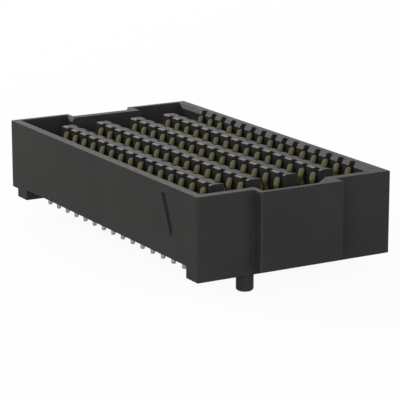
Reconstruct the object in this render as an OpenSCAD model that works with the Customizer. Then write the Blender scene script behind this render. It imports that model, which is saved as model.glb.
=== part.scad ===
// Board to board array socket: a keyed black shroud with rows of spring contacts and solder ends.
// X runs along the rows, Y across them and Z up from the board. The origin is the middle of the array on the board.

/* [Array] */
// Distance between neighbouring contacts, along and across the rows
pitch = 1.27; // [1.2:0.01:1.6]
// Contacts in each row
columns = 15; // [5:1:30]

/* [Shroud] */
// Height of the rim above the board
rim_h = 5.05; // [4.6:0.05:7]
// Flat rim of the long walls
rim_flat = 0.55; // [0.45:0.05:1]
// Width of the sloped lead-in inside the long walls
lead_w = 0.17; // [0.05:0.01:0.2]
// Height of the sloped lead-in
lead_h = 0.28; // [0.15:0.01:0.5]
// Room between the outermost rows and the long walls
row_room = 0.185; // [0.17:0.005:0.4]
// Room from the last column to the near end wall's corners
end_room = 2.5; // [2:0.01:4]
// End walls beside the key at the near end, and behind it at the far end
end_wall = 0.6; // [0.4:0.01:0.8]
// Thin end walls that stand out: the key at the near end, the corners at the far end
thin_wall = 0.4; // [0.3:0.01:0.6]

/* [Key] */
// How far the middle of both end walls is shifted towards the near end
key_shift = 1; // [0.6:0.05:1.4]
// Side of the key towards the marked wall, at the near end
key_low = 2.69; // [2.2:0.01:3.4]
// Side of the key towards the marked wall, at the far end
key_low_far = 2.6; // [2.2:0.01:3.4]
// Other side of the key at the near end
key_high = 2.59; // [2.2:0.01:3.4]
// Other side of the key at the far end
key_high_far = 2.35; // [2:0.05:3.4]
// Thickness of the walls that step between key and corners
step_wall = 0.38; // [0.3:0.01:0.6]
// Width of the slanted corner inside the key
key_slant = 1.15; // [0.4:0.05:1.4]
// Width of the slanted corner outside the far end wall
far_slant = 0.5; // [0.2:0.05:0.9]

/* [Floor and feet] */
// Clear height under the floor
under_h = 0.72; // [0.55:0.01:1]
// Thickness of the floor
floor_t = 1.25; // [0.9:0.05:1.6]
// Thickness of the feet along the rows
foot_t = 1.35; // [1.2:0.05:1.8]
// Height of the key's lower edge above the board
key_edge = 0.27; // [0.1:0.01:0.55]
// Height of the far corners' lower edge above the board
corner_edge = 0.53; // [0.1:0.01:0.55]

/* [Ribs] */
// Thickness of the ribs
rib_t = 0.96; // [0.9:0.01:1.05]
// Depth of the ribs' tops below the rim
rib_drop = 0.1; // [0:0.05:0.6]
// Length of the ribs past the last contact at the near end
rib_over = 0.5; // [0.4:0.05:1.2]
// Length of the ribs past the last contact at the far end
rib_over_far = 1; // [0.4:0.05:1.2]
// Width of the slopes on the ribs' tops
crown_w = 0.21; // [0.1:0.01:0.35]
// Height of the slopes on the ribs' tops
crown_h = 0.05; // [0.03:0.01:0.3]
// Width of the notches and of the slots in the floor
notch_w = 0.52; // [0.46:0.01:0.7]
// Depth of the ribs' notches behind their row
notch_depth = 0.44; // [0.32:0.01:0.45]
// Depth of the marked wall's notches behind their row
near_notch = 0.33; // [0.3:0.01:0.5]
// Depth of the other long wall's notches behind their row
far_notch = 0.5; // [0.3:0.01:0.6]

/* [Contacts] */
// Thickness of the contact strip
strip_t = 0.14; // [0.1:0.01:0.16]
// Clearance of the shank in its slot
fit_gap = 0.02; // [0.005:0.005:0.04]
// Width of the spring beam
beam_w = 0.26; // [0.18:0.01:0.32]
// Width of the broad tip
tip_w = 0.46; // [0.36:0.01:0.46]
// Depth of the tips' ends below the rim
tip_drop = 0.32; // [0.2:0.01:0.6]
// Height of the broad tip
tip_h = 0.49; // [0.4:0.01:0.7]
// How far the beam is set back from its row towards the notch
beam_back = 0.07; // [0:0.01:0.15]
// Height of the bend between beam and tip
bend_h = 0.45; // [0.3:0.01:0.8]
// How far the tip's lower end stands out from its row into the channel
bow = 0.07; // [0.02:0.01:0.2]
// How far the tip's upper end is set back from its lower end
tip_offset = 0.14; // [0.05:0.01:0.3]
// Curve of the tip on its way back, where 1 is straight
tip_curve = 1.4; // [1:0.1:2]
// Size of the sloped shoulders between the broad and narrow stretches
shoulder_h = 0.12; // [0.05:0.01:0.15]
// Width of the tail below the floor
tail_w = 0.16; // [0.1:0.01:0.18]

/* [Solder ends] */
// Diameter of the solder ends
solder_d = 0.28; // [0.26:0.01:0.5]
// Height of the solder ends
solder_h = 0.42; // [0.3:0.01:0.5]
// Rounding of the solder ends at the board
solder_round = 0.08; // [0.02:0.01:0.12]
// Solder left under the tail
solder_under = 0.12; // [0.05:0.01:0.2]

/* [Locating posts] */
// Diameter of the posts
post_d = 1.05; // [0.7:0.05:1.2]
// Length of the posts below the board
post_len = 1.05; // [0.6:0.05:2]
// Sloped end of the posts
post_tip = 0.1; // [0.05:0.01:0.2]
// Distance of the posts from the middle, towards the marked wall
post_y = 3.07; // [1:0.01:4]

/* [Mark] */
// Width of the triangle at the last contact
mark_w = 2.26; // [1.2:0.01:2.6]
// Height of the triangle
mark_h = 2.47; // [1.2:0.01:2.6]
// Depth of the triangle's top below the rim
mark_drop = 0.54; // [0.4:0.01:1]
// Depth of the recess
mark_depth = 0.12; // [0.08:0.01:0.3]

/* [Hidden] */
rows = 10;
// Overlap of a cut with the open air
cut = 0.5;
// Steps along a curved stretch, and round a full circle
curve_steps = 6;
round_steps = 48;
row_span = (rows - 1) * pitch;
column_span = (columns - 1) * pitch;
floor_top = under_h + floor_t;
floor_middle = under_h + floor_t / 2;
lead_past = lead_w * (lead_h + cut) / lead_h;
half_in = row_span / 2 + row_room;
half_rim = half_in + lead_w;
half_out = half_rim + rim_flat;
near_in = column_span / 2 + end_room;
near_out = near_in + end_wall;
key_in = near_in + key_shift;
key_out = key_in + thin_wall;
far_in = -key_in;
far_out = -key_out;
far_key_in = -near_in;
far_key_out = -near_out;
half_step = step_wall / 2;
rib_top = rim_h - rib_drop;
rib_near = column_span / 2 + rib_over;
rib_far = column_span / 2 + rib_over_far;
half_slot = strip_t / 2 + fit_gap;
shank_w = notch_w - 2 * fit_gap;
post_x = near_out - foot_t / 2;
tip_top = rim_h - tip_drop;
tip_low = tip_top - tip_h;
bend_low = tip_low - bend_h;

function row_y(r) = (r - (rows + 1) / 2) * pitch;
function column_x(c) = (c - (columns + 1) / 2) * pitch;
function pocket_depth(r) = r == 1 ? near_notch : r == rows ? far_notch : notch_depth;
// Smooth step from 0 to 1
function ease(t) = t * t * (3 - 2 * t);
// Place of the contact strip's middle, measured from its row into the channel
function strip_middle(z) =
    z < floor_top ? 0 :
    z < bend_low ? -beam_back * ease((z - floor_top) / (bend_low - floor_top)) :
    z < tip_low ? -beam_back + (beam_back + bow) * ease((z - bend_low) / bend_h) :
    bow - tip_offset * pow((z - tip_low) / tip_h, tip_curve);

// Extrudes an outline of (Y, Z) points along X
module along_x(length) {
    rotate([90, 0, 90]) linear_extrude(length) children();
}

// Extrudes an outline of (X, Z) points across Y, centred
module across_y(length) {
    rotate([90, 0, 0]) linear_extrude(length, center = true) children();
}

// Puts a shape that faces +Y on its row: odd rows face +Y, even rows face -Y
module on_row(r) {
    translate([0, row_y(r), 0])
        if (r % 2 == 1) children();
        else mirror([0, 1, 0]) children();
}

// Plan of the shroud: the middle of both short ends is shifted towards the near end
module shroud_plan() {
    polygon([
        [near_out, -half_out],
        [near_out, -key_low - half_step],
        [key_out, -key_low - half_step],
        [key_out, key_high + half_step],
        [near_out, key_high + half_step],
        [near_out, half_out],
        [far_out, half_out],
        [far_out, key_high_far - half_step],
        [far_key_out, key_high_far - half_step - far_slant],
        [far_key_out, -key_low_far + half_step],
        [far_out, -key_low_far + half_step],
        [far_out, -half_out]
    ]);
}

// One side of the cavity between a long wall and the key, with lead-ins on both its walls
module side_cavity(wall, step) {
    out = sign(wall - step);
    translate([far_in, 0, 0]) along_x(near_in - far_in) polygon([
        [step, floor_top],
        [step, rim_h - lead_h],
        [step - out * lead_past, rim_h + cut],
        [wall + out * lead_past, rim_h + cut],
        [wall, rim_h - lead_h],
        [wall, floor_top]
    ]);
}

// The open inside of the shroud
module cavity() {
    side_cavity(-half_in, -key_low_far - half_step);
    side_cavity(half_in, key_high_far + half_step);
    translate([0, 0, floor_top]) linear_extrude(rim_h - floor_top + cut) polygon([
        [far_key_in, -key_low_far - half_step],
        [near_in, -key_low_far - half_step],
        [near_in, -key_low + half_step],
        [key_in, -key_low + half_step],
        [key_in, key_high - half_step - key_slant],
        [near_in, key_high - half_step],
        [near_in, key_high_far + half_step],
        [far_key_in, key_high_far + half_step]
    ]);
}

// What is cleared below: the space between the feet, and the undersides of key and far corners
module underside() {
    inner = near_out - foot_t;
    translate([-inner, -half_out - cut, -cut]) cube([2 * inner, 2 * (half_out + cut), under_h + cut]);
    translate([near_out, -half_out - cut, -cut])
        cube([key_out - near_out + cut, 2 * (half_out + cut), key_edge + cut]);
    translate([far_out - cut, -half_out - cut, -cut])
        cube([far_key_out - far_out + cut, 2 * (half_out + cut), corner_edge + cut]);
}

// One rib between two channels, rooted in the floor
module rib() {
    translate([-rib_far, 0, 0]) along_x(rib_far + rib_near) polygon([
        [-rib_t / 2, floor_middle],
        [rib_t / 2, floor_middle],
        [rib_t / 2, rib_top - crown_h],
        [rib_t / 2 - crown_w, rib_top],
        [-rib_t / 2 + crown_w, rib_top],
        [-rib_t / 2, rib_top - crown_h]
    ]);
}

// Slot through the floor and notch above it, for one contact
module contact_pocket(depth) {
    translate([-notch_w / 2, 0, 0]) along_x(notch_w) polygon([
        [half_slot, under_h - cut],
        [half_slot, rim_h + cut],
        [-depth, rim_h + cut],
        [-depth, floor_top],
        [-half_slot, floor_top],
        [-half_slot, under_h - cut]
    ]);
}

// Locating post under a foot
module post() {
    translate([0, 0, post_tip - post_len]) cylinder(d = post_d, h = post_len, $fn = round_steps);
    translate([0, 0, -post_len])
        cylinder(d1 = post_d - 2 * post_tip, d2 = post_d, h = post_tip, $fn = round_steps);
}

// Recessed triangle on the long wall, pointing down at the last contact
module mark() {
    top = rim_h - mark_drop;
    translate([column_span / 2, -half_out, 0]) across_y(2 * mark_depth) polygon([
        [-mark_w / 2, top],
        [mark_w / 2, top],
        [0, top - mark_h]
    ]);
}

module housing() {
    color([0.16, 0.16, 0.155]) difference() {
        union() {
            difference() {
                linear_extrude(rim_h) shroud_plan();
                cavity();
                underside();
            }
            for (r = [2 : 2 : rows - 2]) translate([0, row_y(r) + pitch / 2, 0]) rib();
            for (side = [-1, 1]) translate([side * post_x, -post_y, 0]) post();
        }
        for (r = [1 : rows])
            for (c = [1 : columns])
                translate([column_x(c), 0, 0]) on_row(r) contact_pocket(pocket_depth(r));
        mark();
    }
}

// Side view of the contact strip, from the tail to the leaning tip
module strip_side() {
    z_list = concat(
        [solder_under, floor_top],
        [for (i = [1 : curve_steps]) floor_top + (bend_low - floor_top) * i / curve_steps],
        [for (i = [1 : curve_steps]) bend_low + bend_h * i / curve_steps],
        [for (i = [1 : curve_steps]) tip_low + tip_h * i / curve_steps]
    );
    polygon(concat(
        [for (z = z_list) [strip_middle(z) + strip_t / 2, z]],
        [for (i = [len(z_list) - 1 : -1 : 0]) [strip_middle(z_list[i]) - strip_t / 2, z_list[i]]]
    ));
}

// Front view of one contact: tail, shank in the floor, narrow beam and broad tip
module strip_front() {
    half = [
        [tail_w / 2, solder_under],
        [tail_w / 2, under_h],
        [shank_w / 2, under_h],
        [shank_w / 2, floor_top],
        [beam_w / 2, floor_top + shoulder_h],
        [beam_w / 2, tip_low - shoulder_h],
        [tip_w / 2, tip_low],
        [tip_w / 2, tip_top - shoulder_h],
        [tip_w / 2 - shoulder_h, tip_top]
    ];
    polygon(concat(half, [for (i = [len(half) - 1 : -1 : 0]) [-half[i].x, half[i].y]]));
}

module contact_row(r) {
    color([0.72, 0.62, 0.36]) on_row(r) intersection() {
        translate([-rib_near, 0, 0]) along_x(2 * rib_near) strip_side();
        for (c = [1 : columns]) translate([column_x(c), 0, 0]) across_y(pitch) strip_front();
    }
}

// Solder end on one tail, standing on the board
module solder_end() {
    difference() {
        rotate_extrude($fn = round_steps) polygon(concat(
            [[0, 0]],
            [for (i = [0 : curve_steps / 2])
                let (a = 90 * i / (curve_steps / 2))
                [solder_d / 2 - solder_round + solder_round * sin(a), solder_round - solder_round * cos(a)]],
            [[solder_d / 2, solder_h], [0, solder_h]]
        ));
        translate([-tail_w / 2, -strip_t / 2, solder_under]) cube([tail_w, strip_t, solder_h]);
    }
}

module solder_row(r) {
    color([0.66, 0.66, 0.67])
        for (c = [1 : columns]) translate([column_x(c), row_y(r), 0]) solder_end();
}

housing();
for (r = [1 : rows]) contact_row(r);
for (r = [1 : rows]) solder_row(r);
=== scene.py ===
import math

import bmesh
import bpy
from mathutils import Matrix, Vector


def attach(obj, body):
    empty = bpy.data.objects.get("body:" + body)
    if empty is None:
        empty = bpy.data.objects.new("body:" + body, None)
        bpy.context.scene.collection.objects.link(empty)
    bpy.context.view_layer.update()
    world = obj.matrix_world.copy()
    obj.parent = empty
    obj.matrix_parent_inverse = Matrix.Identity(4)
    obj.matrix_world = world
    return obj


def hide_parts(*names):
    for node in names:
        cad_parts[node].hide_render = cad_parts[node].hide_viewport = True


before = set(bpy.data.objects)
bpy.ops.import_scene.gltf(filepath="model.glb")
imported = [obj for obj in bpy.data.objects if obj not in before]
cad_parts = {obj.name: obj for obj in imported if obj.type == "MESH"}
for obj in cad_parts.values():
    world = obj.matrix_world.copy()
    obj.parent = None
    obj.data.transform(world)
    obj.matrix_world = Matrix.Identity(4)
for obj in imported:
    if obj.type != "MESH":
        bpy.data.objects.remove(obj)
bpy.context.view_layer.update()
scene = bpy.context.scene
scene.view_settings.view_transform = "Standard"
mm = 0.001  # every size below is in mm, Blender's are in metres
white = (1, 1, 1, 1)
noiseSpan = (0.3, 0.7)  # most values of a noise lie between these
print("frame loaded,", len(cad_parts), "nodes")


# node and material helpers
def addNode(tree, kind, values=None, **settings):
    node = tree.nodes.new(kind)
    for key, value in settings.items():
        setattr(node, key, value)
    for key, value in (values or {}).items():
        node.inputs[key].default_value = value
    return node


def emptyTree(owner):  # nodes of a material or a world
    owner.use_nodes = True
    owner.node_tree.nodes.clear()
    return owner.node_tree


def startMaterial(name):
    material = bpy.data.materials.new(name)
    tree = emptyTree(material)
    output = addNode(tree, "ShaderNodeOutputMaterial")
    shader = addNode(tree, "ShaderNodeBsdfPrincipled")
    tree.links.new(shader.outputs["BSDF"], output.inputs["Surface"])
    coords = addNode(tree, "ShaderNodeTexCoord").outputs["Object"]
    return material, tree, shader, coords


def noiseOn(tree, coords, size, detail):  # size is the width of a blotch
    noise = addNode(tree, "ShaderNodeTexNoise", {"Scale": 1 / (size * mm), "Detail": detail})
    tree.links.new(coords, noise.inputs["Vector"])
    return noise.outputs["Fac"]


def numberBetween(tree, factor, low, high):
    ramp = addNode(tree, "ShaderNodeMapRange", {"To Min": low, "To Max": high})
    ramp.inputs["From Min"].default_value, ramp.inputs["From Max"].default_value = noiseSpan
    tree.links.new(factor, ramp.inputs["Value"])
    return ramp.outputs["Result"]


def colourBetween(tree, factor, first, second):
    ramp = addNode(tree, "ShaderNodeValToRGB")
    for stop, place, colour in zip(ramp.color_ramp.elements, noiseSpan, (first, second)):
        stop.position = place
        stop.color = (*colour, 1)
    tree.links.new(factor, ramp.inputs["Fac"])
    return ramp.outputs["Color"]


def bumpOn(tree, shader, height, strength, depth):
    bump = addNode(tree, "ShaderNodeBump", {"Strength": strength, "Distance": depth * mm})
    tree.links.new(height, bump.inputs["Height"])
    tree.links.new(bump.outputs["Normal"], shader.inputs["Normal"])


# black glass-filled moulding: faint clouds of flow, fine spark-eroded grain
plastic = {
    "dark": (0.0255, 0.0259, 0.0244),
    "light": (0.0295, 0.0299, 0.0282),
    "flowSize": 2.4,
    "flowDetail": 3,
    "grainSize": 0.055,
    "grainDetail": 2,
    "grainStrength": 0.1,
    "grainDepth": 0.006,
    "roughLow": 0.175,
    "roughHigh": 0.245,
    "specular": 0.019,
    "cornerSpecular": 0.12,
}


def makePlastic(name, specular):
    material, tree, shader, coords = startMaterial(name)
    flow = noiseOn(tree, coords, plastic["flowSize"], plastic["flowDetail"])
    grain = noiseOn(tree, coords, plastic["grainSize"], plastic["grainDetail"])
    colour = colourBetween(tree, flow, plastic["dark"], plastic["light"])
    rough = numberBetween(tree, grain, plastic["roughLow"], plastic["roughHigh"])
    tree.links.new(colour, shader.inputs["Base Color"])
    tree.links.new(rough, shader.inputs["Roughness"])
    shader.inputs["Specular IOR Level"].default_value = specular
    bumpOn(tree, shader, grain, plastic["grainStrength"], plastic["grainDepth"])
    return material


# gold flash on copper alloy, satin from stamping, a little uneven from contact to contact
gold = {
    "deep": (0.124, 0.085, 0.044),
    "pale": (0.111, 0.121, 0.048),
    "patchSize": 0.9,
    "patchDetail": 2,
    "drawnSize": 0.04,
    "drawnDetail": 2,
    "drawnStretch": (1, 1, 0.12),  # the drawn lines run along the beams
    "drawnStrength": 0.2,
    "drawnDepth": 0.003,
    "metal": 0.2,
    "roughLow": 0.6,
    "roughHigh": 0.75,
    "specular": 0.12,
    "paintedShadeLow": 4.3,  # heights between which painted shade darkens the tips' colour towards their tops
    "paintedShadeHigh": 4.73,
    "paintedLightBelow": 1.12,  # how strong the colour is below them (painted light) and above them (painted shade)
    "paintedShadeAbove": 0.72,
}


# painted light and shade by height: the gold colour is scaled up low on the contacts and down on the
# tips' tops
def paintedTipShade(tree, coords):
    place = addNode(tree, "ShaderNodeSeparateXYZ")
    tree.links.new(coords, place.inputs[0])
    fade = addNode(tree, "ShaderNodeMapRange", {"To Min": gold["paintedLightBelow"], "To Max": gold["paintedShadeAbove"]})
    fade.inputs["From Min"].default_value = gold["paintedShadeLow"] * mm
    fade.inputs["From Max"].default_value = gold["paintedShadeHigh"] * mm
    tree.links.new(place.outputs["Z"], fade.inputs["Value"])
    return fade.outputs["Result"]


def makeGold():
    material, tree, shader, coords = startMaterial("goldFlash")
    patch = noiseOn(tree, coords, gold["patchSize"], gold["patchDetail"])
    stretch = addNode(tree, "ShaderNodeMapping", {"Scale": gold["drawnStretch"]})
    tree.links.new(coords, stretch.inputs["Vector"])
    drawn = noiseOn(tree, stretch.outputs["Vector"], gold["drawnSize"], gold["drawnDetail"])
    # the gold colour times the painted light and shade by height
    paintedShadeColour = addNode(tree, "ShaderNodeVectorMath", operation="SCALE")
    tree.links.new(colourBetween(tree, patch, gold["deep"], gold["pale"]), paintedShadeColour.inputs[0])
    tree.links.new(paintedTipShade(tree, coords), paintedShadeColour.inputs["Scale"])
    rough = numberBetween(tree, drawn, gold["roughLow"], gold["roughHigh"])
    tree.links.new(paintedShadeColour.outputs[0], shader.inputs["Base Color"])
    tree.links.new(rough, shader.inputs["Roughness"])
    shader.inputs["Metallic"].default_value = gold["metal"]
    shader.inputs["Specular IOR Level"].default_value = gold["specular"]
    bumpOn(tree, shader, drawn, gold["drawnStrength"], gold["drawnDepth"])
    return material


# dull, frosted tin solder
tin = {
    "dark": (0.215, 0.215, 0.213),
    "light": (0.285, 0.285, 0.283),
    "frostSize": 0.05,
    "frostDetail": 3,
    "frostStrength": 0.3,
    "frostDepth": 0.006,
    "metal": 1,
    "roughLow": 0.42,
    "roughHigh": 0.62,
}


def makeTin():
    material, tree, shader, coords = startMaterial("dullSolder")
    frost = noiseOn(tree, coords, tin["frostSize"], tin["frostDetail"])
    colour = colourBetween(tree, frost, tin["dark"], tin["light"])
    rough = numberBetween(tree, frost, tin["roughLow"], tin["roughHigh"])
    tree.links.new(colour, shader.inputs["Base Color"])
    tree.links.new(rough, shader.inputs["Roughness"])
    shader.inputs["Metallic"].default_value = tin["metal"]
    bumpOn(tree, shader, frost, tin["frostStrength"], tin["frostDepth"])
    return material


blackMoulding = makePlastic("blackMoulding", plastic["specular"])
polishedCorner = makePlastic("polishedCorner", plastic["cornerSpecular"])
goldFlash = makeGold()
dullSolder = makeTin()
print("materials made")


def addObject(name, data):
    piece = bpy.data.objects.new(name, data)
    scene.collection.objects.link(piece)
    return piece


def asPlainMesh(piece):  # what the modifiers give, kept as the piece's own mesh
    graph = bpy.context.evaluated_depsgraph_get()
    finished = piece.evaluated_get(graph)
    mesh = bpy.data.meshes.new_from_object(finished, preserve_all_data_layers=True, depsgraph=graph)
    piece.modifiers.clear()
    piece.data = mesh
    return mesh


# the shroud: the solid's own faces with the small radii that a mould leaves on its edges
shroud = {
    "cornerRound": 0.1,  # upright corners that show between the marked wall and the key
    "outerRound": 0.04,  # rim and the other corners of the outside
    "innerRound": 0.018,  # notches, ribs and slots
    "steps": 2,
    "sharpAngle": 25,  # degrees from which an edge is rounded
    "flatAngle": 1,  # degrees up to which triangles make one flat face
    "mergeWithin": 0.0005,
    "wallY": 6.61,  # the outside of the long walls lies past this
    "endX": 11.98,  # and that of the short ends past this
    "keyX": 12.6,  # only the key reaches past this
    "cornerY": -6.5,  # the marked wall's corner lies past this
    "uprightFrom": 2,  # height from which an edge counts as upright
    "markY": -6.45,  # the mark lies past this, between two heights
    "markLow": 1,
    "markHigh": 4.8,
    "boardZ": 0.01,  # the posts start this near to the board's plane
    "lean": 0.1,  # a normal's share along an axis that counts as a slant
}


def endsOf(edge):  # in mm
    return [vertex.co / mm for vertex in edge.verts]


def onOutside(point):
    return abs(point.y) > shroud["wallY"] or abs(point.x) > shroud["endX"]


def onMark(point):
    return point.y < shroud["markY"] and shroud["markLow"] < point.z < shroud["markHigh"]


def onPostRoot(edge):  # the line where a post leaves its foot
    return not edge.is_convex and all(abs(p.z) < shroud["boardZ"] for p in endsOf(edge))


def roundOf(edge):
    ends = endsOf(edge)
    if all(onMark(p) for p in ends) or onPostRoot(edge):
        return 0  # these stay sharp
    if not all(onOutside(p) for p in ends):
        return shroud["innerRound"]
    upright = abs(ends[0].z - ends[1].z) > shroud["uprightFrom"]
    if upright and all(p.x > 0 and p.y < 0 for p in ends) and edge.is_convex:
        return shroud["cornerRound"]
    return shroud["outerRound"]


def onPost(face):  # only the round posts are smooth, so that the walls stay flat
    return face.calc_center_median().z < 0 and abs(face.normal.z) < shroud["lean"]


def onCorner(face):  # the well rounded upright corners, which are glossier
    slantX, slantY, slantZ = face.normal.x, -face.normal.y, abs(face.normal.z)
    x, y = face.center.x / mm, face.center.y / mm
    standsOut = x > shroud["keyX"] or x > shroud["endX"] and y < shroud["cornerY"]
    return standsOut and slantZ < shroud["lean"] and min(slantX, slantY) > shroud["lean"]


def makeShroud():
    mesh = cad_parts["housing"].data.copy()
    mesh.materials.clear()
    mesh.materials.append(blackMoulding)
    mesh.materials.append(polishedCorner)
    shape = bmesh.new()
    shape.from_mesh(mesh)
    bmesh.ops.remove_doubles(shape, verts=shape.verts, dist=shroud["mergeWithin"] * mm)
    flat = math.radians(shroud["flatAngle"])
    bmesh.ops.dissolve_limit(shape, angle_limit=flat, verts=shape.verts, edges=shape.edges)
    weights = shape.edges.layers.float.new("bevel_weight_edge")
    sharp = math.radians(shroud["sharpAngle"])
    for edge in shape.edges:
        if len(edge.link_faces) == 2 and edge.calc_face_angle() > sharp:
            edge[weights] = roundOf(edge) / shroud["cornerRound"]
    for face in shape.faces:
        face.smooth = onPost(face)
    shape.to_mesh(mesh)
    shape.free()
    piece = addObject("shroud", mesh)
    bevel = piece.modifiers.new("edges", "BEVEL")
    bevel.limit_method = "WEIGHT"
    bevel.width = shroud["cornerRound"] * mm
    bevel.segments = shroud["steps"]
    bevel.use_clamp_overlap = False
    bevel.loop_slide = False  # sliding would push a corner past the solid's box
    for face in asPlainMesh(piece).polygons:
        face.material_index = int(onCorner(face))
    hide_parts("housing")
    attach(piece, "root")
    print("shroud made,", len(piece.data.polygons), "faces")


makeShroud()


# rows and columns of the same small shape, every second row turned round
array = {"pitch": 1.27, "columns": 15, "rows": 10}
arrayInputs = {
    "Pitch": "Float",
    "Columns": "Int",
    "Rows": "Int",
    "Shape": "Object",
    "Finish": "Material",
}


def makeArrayTree():
    tree = bpy.data.node_groups.new("contactArray", "GeometryNodeTree")
    tree.interface.new_socket("Geometry", in_out="OUTPUT", socket_type="NodeSocketGeometry")
    for name, kind in arrayInputs.items():
        tree.interface.new_socket(name, in_out="INPUT", socket_type="NodeSocket" + kind)
    given = addNode(tree, "NodeGroupInput").outputs

    def worked(kind, first, second=0):  # one Math node on sockets or numbers
        node = addNode(tree, "ShaderNodeMath", operation=kind)
        for socket, value in zip(node.inputs, (first, second)):
            if isinstance(value, (int, float)):
                socket.default_value = value
            else:
                tree.links.new(value, socket)
        return node.outputs[0]

    columnGaps = worked("SUBTRACT", given["Columns"], 1)
    rowGaps = worked("SUBTRACT", given["Rows"], 1)
    grid = addNode(tree, "GeometryNodeMeshGrid")
    tree.links.new(worked("MULTIPLY", columnGaps, given["Pitch"]), grid.inputs["Size X"])
    tree.links.new(worked("MULTIPLY", rowGaps, given["Pitch"]), grid.inputs["Size Y"])
    tree.links.new(given["Columns"], grid.inputs["Vertices X"])
    tree.links.new(given["Rows"], grid.inputs["Vertices Y"])
    place = addNode(tree, "ShaderNodeSeparateXYZ")
    tree.links.new(addNode(tree, "GeometryNodeInputPosition").outputs[0], place.inputs[0])
    rowFromMiddle = worked("DIVIDE", place.outputs["Y"], given["Pitch"])
    row = worked("ROUND", worked("ADD", rowFromMiddle, worked("DIVIDE", rowGaps, 2)))
    turn = addNode(tree, "ShaderNodeCombineXYZ")
    tree.links.new(worked("MULTIPLY", worked("MODULO", row, 2), math.pi), turn.inputs["Z"])
    source = addNode(tree, "GeometryNodeObjectInfo", transform_space="ORIGINAL")
    tree.links.new(given["Shape"], source.inputs["Object"])
    instances = addNode(tree, "GeometryNodeInstanceOnPoints")
    tree.links.new(grid.outputs["Mesh"], instances.inputs["Points"])
    tree.links.new(source.outputs["Geometry"], instances.inputs["Instance"])
    tree.links.new(turn.outputs[0], instances.inputs["Rotation"])
    real = addNode(tree, "GeometryNodeRealizeInstances")
    tree.links.new(instances.outputs[0], real.inputs[0])
    painted = addNode(tree, "GeometryNodeSetMaterial")
    tree.links.new(real.outputs[0], painted.inputs["Geometry"])
    tree.links.new(given["Finish"], painted.inputs["Material"])
    result = addNode(tree, "NodeGroupOutput")
    tree.links.new(painted.outputs[0], result.inputs[0])
    return tree


arrayTree = makeArrayTree()


def makeArray(name, shape, finish, nodes):
    piece = addObject(name, bpy.data.meshes.new(name))
    modifier = piece.modifiers.new("array", "NODES")
    modifier.node_group = arrayTree
    values = {
        "Pitch": array["pitch"] * mm,
        "Columns": array["columns"],
        "Rows": array["rows"],
        "Shape": shape,
        "Finish": finish,
    }
    for item in arrayTree.interface.items_tree:
        if item.in_out == "INPUT":
            modifier[item.identifier] = values[item.name]
    asPlainMesh(piece)
    bpy.data.objects.remove(shape)
    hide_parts(*nodes)
    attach(piece, "root")
    print(name, "made,", len(piece.data.polygons), "faces")


def rowNodes(name):
    return [f"{name}_{row + 1}" for row in range(array["rows"])]


def lofted(name, rings):  # closes a skin over rings of equally many points
    shape = bmesh.new()
    loops = [[shape.verts.new(Vector(p) * mm) for p in ring] for ring in rings]
    count = len(loops[0])
    for low, high in zip(loops, loops[1:]):
        for i in range(count):
            j = (i + 1) % count
            shape.faces.new((low[i], low[j], high[j], high[i]))
    caps = [shape.faces.new(list(reversed(loops[0]))), shape.faces.new(loops[-1])]
    bmesh.ops.recalc_face_normals(shape, faces=shape.faces)
    for face in shape.faces:
        face.smooth = face not in caps
    mesh = bpy.data.meshes.new(name)
    shape.to_mesh(mesh)
    shape.free()
    return mesh


# one stamped contact, facing +Y: tail, shank in the floor, beam set back, broad tip that turns back
contact = {
    "thickness": 0.14,
    "edge": 0.03,  # blunt stamped edges
    "tailBottom": 0.12,  # heights
    "floorLow": 0.72,
    "floorTop": 1.97,
    "bendLow": 3.79,
    "tipLow": 4.24,
    "tipTop": 4.73,
    "tailWidth": 0.16,
    "shankWidth": 0.48,
    "beamWidth": 0.26,
    "tipWidth": 0.46,
    "shankStep": 0.01,  # height over which the tail widens into the shank
    "shoulder": 0.12,  # the same from shank to beam and from beam to tip
    "slant": 0.036,  # height of the flatter part of the tip's cut corners
    "beamBack": 0.07,  # how far the beam is set back and the bend comes forward
    "bow": 0.07,
    "tipOffset": 0.14,  # how far the tip turns back, and how late
    "tipCurve": 1.4,
    "beamSteps": 2,
    "bendSteps": 4,
    "tipSteps": 3,
}


def ease(z, low, high):  # smoothly from 0 to 1
    t = (z - low) / (high - low)
    return t * t * (3 - 2 * t)


def stripMiddle(z):
    c = contact
    if z <= c["floorTop"]:
        return 0.0
    if z <= c["bendLow"]:
        return -c["beamBack"] * ease(z, c["floorTop"], c["bendLow"])
    if z <= c["tipLow"]:
        return -c["beamBack"] + (c["beamBack"] + c["bow"]) * ease(z, c["bendLow"], c["tipLow"])
    share = (z - c["tipLow"]) / (c["tipTop"] - c["tipLow"])
    return c["bow"] - c["tipOffset"] * share ** c["tipCurve"]


def stripRing(z, width):
    w, t, e = width / 2, contact["thickness"] / 2, contact["edge"]
    y = stripMiddle(z)
    front = [(w, t - e), (w - e, t), (e - w, t), (-w, t - e)]
    back = [(-px, -py) for px, py in front]
    return [(px, y + py, z) for px, py in front + back]


def heights(low, high, steps):
    return [low + (high - low) * i / steps for i in range(steps + 1)]


def stripStations():  # height and width of each ring, from the tail up
    c = contact
    shoulder = c["shoulder"]
    beam = heights(c["floorTop"] + shoulder, c["bendLow"], c["beamSteps"])
    bend = heights(c["bendLow"], c["tipLow"] - shoulder, c["bendSteps"])
    tip = heights(c["tipLow"], c["tipTop"] - shoulder, c["tipSteps"])
    return [
        (c["tailBottom"], c["tailWidth"]),
        (c["floorLow"], c["tailWidth"]),
        (c["floorLow"] + c["shankStep"], c["shankWidth"]),
        (c["floorTop"], c["shankWidth"]),
        *((z, c["beamWidth"]) for z in beam[:-1] + bend),
        *((z, c["tipWidth"]) for z in tip),
        (c["tipTop"] - c["slant"], c["tipWidth"] - shoulder),
        (c["tipTop"], c["tipWidth"] - 2 * shoulder),
    ]


def makeContacts():
    rings = [stripRing(z, width) for z, width in stripStations()]
    strip = addObject("strip", lofted("strip", rings))
    makeArray("contacts", strip, goldFlash, rowNodes("contact_row"))


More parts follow.
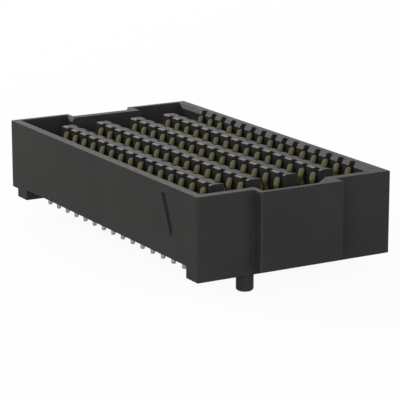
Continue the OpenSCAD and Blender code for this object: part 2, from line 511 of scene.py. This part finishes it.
# one solder end: a short round stub with a rounded foot
solderEnd = {
    "diameter": 0.28,
    "height": 0.42,
    "round": 0.08,  # of the foot
    "edge": 0.03,  # of the upper end
    "sides": 12,
    "footSteps": 3,
}


def makeSolder():
    s = solderEnd
    radius = s["diameter"] / 2
    profile = []
    for i in range(s["footSteps"] + 1):
        angle = math.pi / 2 * i / s["footSteps"]
        inward, rise = s["round"] * (1 - math.sin(angle)), s["round"] * (1 - math.cos(angle))
        profile.append((radius - inward, rise))
    profile += [(radius, s["height"] - s["edge"]), (radius - s["edge"], s["height"])]
    turns = [2 * math.pi * k / s["sides"] for k in range(s["sides"])]
    rings = [[(r * math.cos(a), r * math.sin(a), z) for a in turns] for r, z in profile]
    stub = addObject("stub", lofted("stub", rings))
    makeArray("solderEnds", stub, dullSolder, rowNodes("solder_row"))


makeContacts()
makeSolder()


def whenSeen(tree):  # 1 for rays from the camera, a mirror or glass
    path = addNode(tree, "ShaderNodeLightPath")
    total = path.outputs["Is Camera Ray"]
    for name in ("Is Glossy Ray", "Is Transmission Ray"):
        both = addNode(tree, "ShaderNodeMath", operation="MAXIMUM")
        tree.links.new(total, both.inputs[0])
        tree.links.new(path.outputs[name], both.inputs[1])
        total = both.outputs[0]
    return total


# white floor that the socket stands on, with its soft shadow
floor = {
    "height": -1.06,  # just under the posts
    "half": 3000,
    "colour": (0.92, 0.92, 0.92, 1),
    "white": 0.94,  # share of plain white in what the camera sees
}


def mixOf(tree, share, first, second):
    mix = addNode(tree, "ShaderNodeMixShader")
    for socket, value in zip(mix.inputs, (share, first, second)):
        tree.links.new(value, socket)
    return mix.outputs[0]


def makeFloor():
    half, z = floor["half"] * mm, floor["height"] * mm
    corners = [(-half, -half, z), (half, -half, z), (half, half, z), (-half, half, z)]
    mesh = bpy.data.meshes.new("floor")
    mesh.from_pydata(corners, [], [(0, 1, 2, 3)])
    piece = addObject("floor", mesh)
    material = bpy.data.materials.new("paleFloor")
    tree = emptyTree(material)
    output = addNode(tree, "ShaderNodeOutputMaterial")
    matte = addNode(tree, "ShaderNodeBsdfDiffuse", {"Color": floor["colour"]}).outputs[0]
    glow = addNode(tree, "ShaderNodeEmission", {"Color": white, "Strength": 1}).outputs[0]
    clear = addNode(tree, "ShaderNodeBsdfTransparent").outputs[0]
    share = addNode(tree, "ShaderNodeMath", operation="MULTIPLY")
    tree.links.new(whenSeen(tree), share.inputs[0])
    share.inputs[1].default_value = floor["white"]
    lit = mixOf(tree, share.outputs[0], matte, glow)
    below = addNode(tree, "ShaderNodeNewGeometry").outputs["Backfacing"]
    oneSided = mixOf(tree, below, lit, clear)  # clear from below, so the solder side can be looked at
    tree.links.new(oneSided, output.inputs["Surface"])
    mesh.materials.append(material)


# even studio light: white surroundings, two soft boxes behind that the rims and slopes mirror,
# and two larger ones on the camera's side
sky = {"fill": 0.318}  # what matt surfaces get from the surroundings
lamps = {
    "leftBox": {"place": (-247, -158, 129), "size": (110, 90), "watts": 0.65, "tint": (1, 1, 0.95)},
    "backBox": {"place": (-265, 85, 158), "size": (140, 100), "watts": 0.257, "tint": (1, 0.99, 0.95)},
    "frontBox": {"place": (224, -213, 82), "size": (260, 200), "watts": 0.675, "tint": (0.95, 0.99, 1)},
    "rightBox": {"place": (277, 127, 99), "size": (260, 200), "watts": 0.36, "tint": (0.9, 0.97, 1)},
}


def makeSky():
    scene.world = bpy.data.worlds.new("studio")
    tree = emptyTree(scene.world)
    output = addNode(tree, "ShaderNodeOutputWorld")
    back = addNode(tree, "ShaderNodeBackground", {"Color": white})
    strength = addNode(tree, "ShaderNodeMapRange", {"To Min": sky["fill"], "To Max": 1})
    tree.links.new(whenSeen(tree), strength.inputs["Value"])
    tree.links.new(strength.outputs["Result"], back.inputs["Strength"])
    tree.links.new(back.outputs[0], output.inputs["Surface"])


def makeLamps():
    for name, lamp in lamps.items():
        light = bpy.data.lights.new(name, "AREA")
        light.shape = "RECTANGLE"
        light.size, light.size_y = (side * mm for side in lamp["size"])
        light.energy = lamp["watts"]
        light.color = lamp["tint"]
        holder = addObject(name, light)
        holder.location = Vector(lamp["place"]) * mm
        holder.rotation_euler = (-holder.location).to_track_quat("-Z", "Y").to_euler()
        holder.visible_camera = False


# camera at the photo's angle
shot = {
    "aim": (-0.072, 0.541, 1.413),
    "azimuth": 59.874,  # from the marked wall's side towards the key's end
    "elevation": 14.04,
    "roll": -0.033,
    "distance": 127.0,
    "lens": 180.1,
    "sensor": 36,
    "clipStart": 1,
    "clipEnd": 10000,
}


def makeCamera():
    data = bpy.data.cameras.new("camera")
    camera = addObject("camera", data)
    a, e = math.radians(shot["azimuth"]), math.radians(shot["elevation"])
    back = Vector((math.sin(a) * math.cos(e), -math.cos(a) * math.cos(e), math.sin(e)))
    roll = Matrix.Rotation(math.radians(shot["roll"]), 3, "Z")
    turn = (-back).to_track_quat("-Z", "Y").to_matrix() @ roll
    place = (Vector(shot["aim"]) + back * shot["distance"]) * mm
    camera.matrix_world = Matrix.Translation(place) @ turn.to_4x4()
    data.lens = shot["lens"]
    data.sensor_width = shot["sensor"]
    data.clip_start = shot["clipStart"] * mm
    data.clip_end = shot["clipEnd"] * mm
    scene.camera = camera


makeFloor()
makeSky()
makeLamps()
makeCamera()
print("floor, light and camera set")
